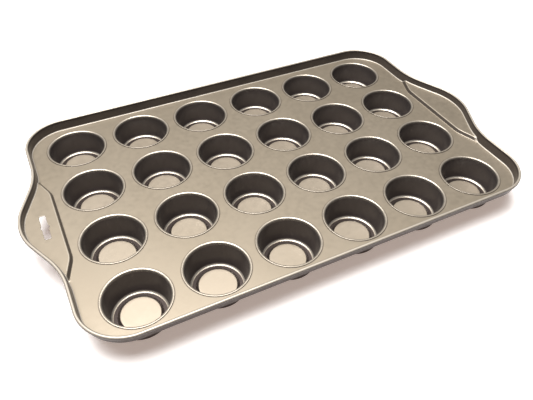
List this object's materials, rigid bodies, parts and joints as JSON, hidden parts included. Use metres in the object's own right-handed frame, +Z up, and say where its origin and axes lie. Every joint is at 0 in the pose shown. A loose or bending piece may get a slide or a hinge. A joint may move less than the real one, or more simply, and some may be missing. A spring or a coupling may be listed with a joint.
{
  "type": "muffin tin",
  "caption": "Shallow rectangular baking tin: rows of small round cups locked into a rimmed steel deck, with a raised ear at each end, one pierced by a hanging slot.",
  "frame": {"origin": "on the surface that the tin stands on, under the middle of the cup grid", "axes": "+X along the long side, away from the ear with the hanging slot; +Y across the tin; +Z up"},
  "size_m": [0.4252, 0.256, 0.0318],
  "materials": {
    "frame_coating": "satin champagne bronze non-stick coating on steel sheet",
    "cup_coating": "satin champagne bronze non-stick coating on drawn steel",
    "wire_steel": "plain drawn steel wire"
  },
  "bodies": {
    "root": {"pan_frame": "frame_coating", "rim_wire": "wire_steel", "cup_r1_c1": "cup_coating", "cup_r1_c2": "cup_coating", "cup_r1_c3": "cup_coating", "cup_r1_c4": "cup_coating", "cup_r1_c5": "cup_coating", "cup_r1_c6": "cup_coating", "cup_r2_c1": "cup_coating", "cup_r2_c2": "cup_coating", "cup_r2_c3": "cup_coating", "cup_r2_c4": "cup_coating", "cup_r2_c5": "cup_coating", "cup_r2_c6": "cup_coating", "cup_r3_c1": "cup_coating", "cup_r3_c2": "cup_coating", "cup_r3_c3": "cup_coating", "cup_r3_c4": "cup_coating", "cup_r3_c5": "cup_coating", "cup_r3_c6": "cup_coating", "cup_r4_c1": "cup_coating", "cup_r4_c2": "cup_coating", "cup_r4_c3": "cup_coating", "cup_r4_c4": "cup_coating", "cup_r4_c5": "cup_coating", "cup_r4_c6": "cup_coating"}
  },
  "joints": []
}
